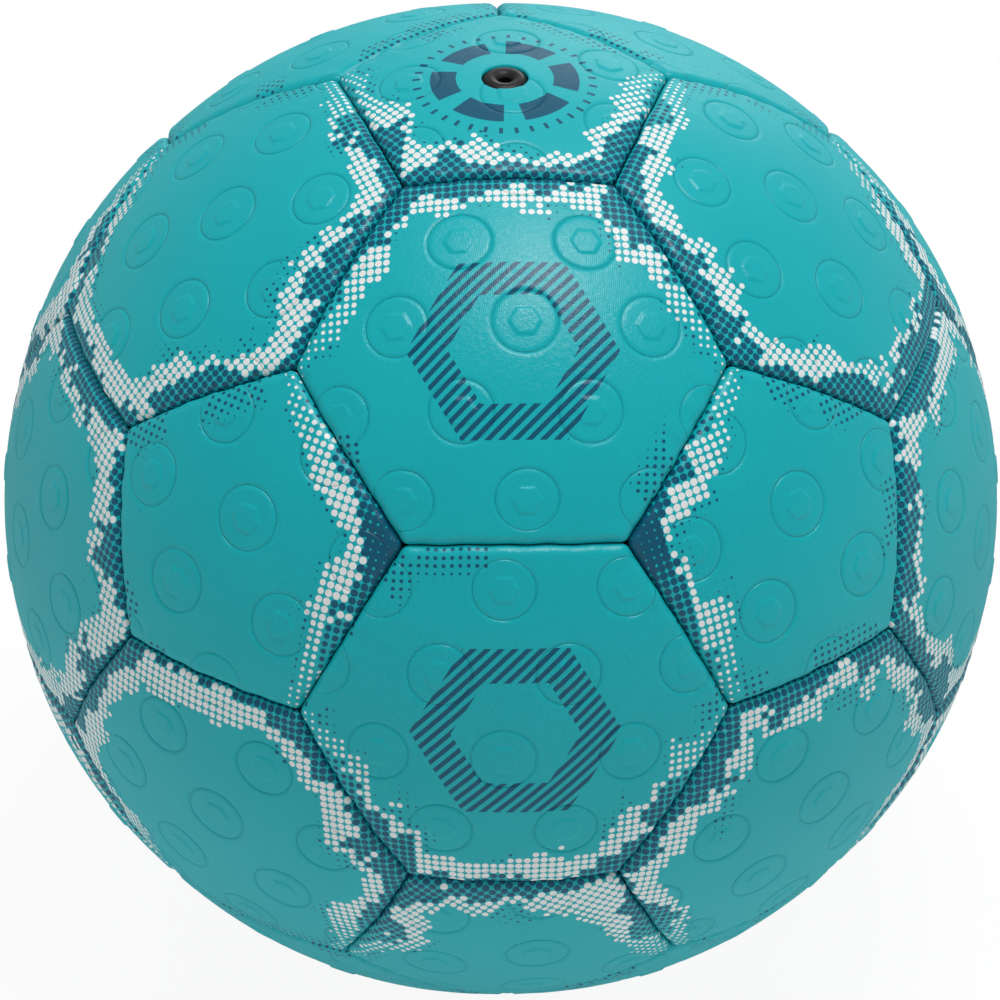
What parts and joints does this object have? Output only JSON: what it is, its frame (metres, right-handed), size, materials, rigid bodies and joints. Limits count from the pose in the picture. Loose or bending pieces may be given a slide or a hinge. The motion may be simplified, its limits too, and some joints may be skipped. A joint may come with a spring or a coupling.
{
  "type": "handball",
  "caption": "Hand-sewn handball of teal pillowed hexagon and pentagon panels with padded backs, sewn seams, an air bladder and a rubber needle valve.",
  "frame": {"origin": "centre of the ball", "axes": "+Z is out along the valve's axis; -Y is towards the side that the picture shows, whose two middle hexagons lie one above the other across the plane X = 0"},
  "size_m": [0.1744, 0.1748, 0.175],
  "materials": {
    "cover_leather": "soft grained synthetic leather, printed",
    "pad_foam": "closed-cell foam",
    "lining_cloth": "woven polyester cotton",
    "waxed_thread": "waxed twisted polyester",
    "bladder_rubber": "matte moulded butyl",
    "boot_rubber": "matte moulded butyl",
    "valve_rubber": "satin moulded rubber"
  },
  "bodies": {
    "root": {"hexagon_panel_01": "cover_leather", "hexagon_panel_02": "cover_leather", "hexagon_panel_03": "cover_leather", "hexagon_panel_04": "cover_leather", "hexagon_panel_05": "cover_leather", "hexagon_panel_06": "cover_leather", "hexagon_panel_07": "cover_leather", "hexagon_panel_08": "cover_leather", "hexagon_panel_09": "cover_leather", "hexagon_panel_10": "cover_leather", "hexagon_panel_11": "cover_leather", "hexagon_panel_12": "cover_leather", "hexagon_panel_13": "cover_leather", "hexagon_panel_14": "cover_leather", "hexagon_panel_15": "cover_leather", "hexagon_panel_16": "cover_leather", "hexagon_panel_17": "cover_leather", "hexagon_panel_18": "cover_leather", "hexagon_panel_19": "cover_leather", "hexagon_panel_20": "cover_leather", "pentagon_panel_01": "cover_leather", "pentagon_panel_02": "cover_leather", "pentagon_panel_03": "cover_leather", "pentagon_panel_04": "cover_leather", "pentagon_panel_05": "cover_leather", "pentagon_panel_06": "cover_leather", "pentagon_panel_07": "cover_leather", "pentagon_panel_08": "cover_leather", "pentagon_panel_09": "cover_leather", "pentagon_panel_10": "cover_leather", "pentagon_panel_11": "cover_leather", "valve_panel": "cover_leather", "hexagon_foam_pads": "pad_foam", "pentagon_foam_pads": "pad_foam", "hexagon_linings": "lining_cloth", "pentagon_linings": "lining_cloth", "seam_thread": "waxed_thread", "bladder": "bladder_rubber", "valve_boot": "boot_rubber", "valve_plug": "valve_rubber"}
  },
  "joints": []
}
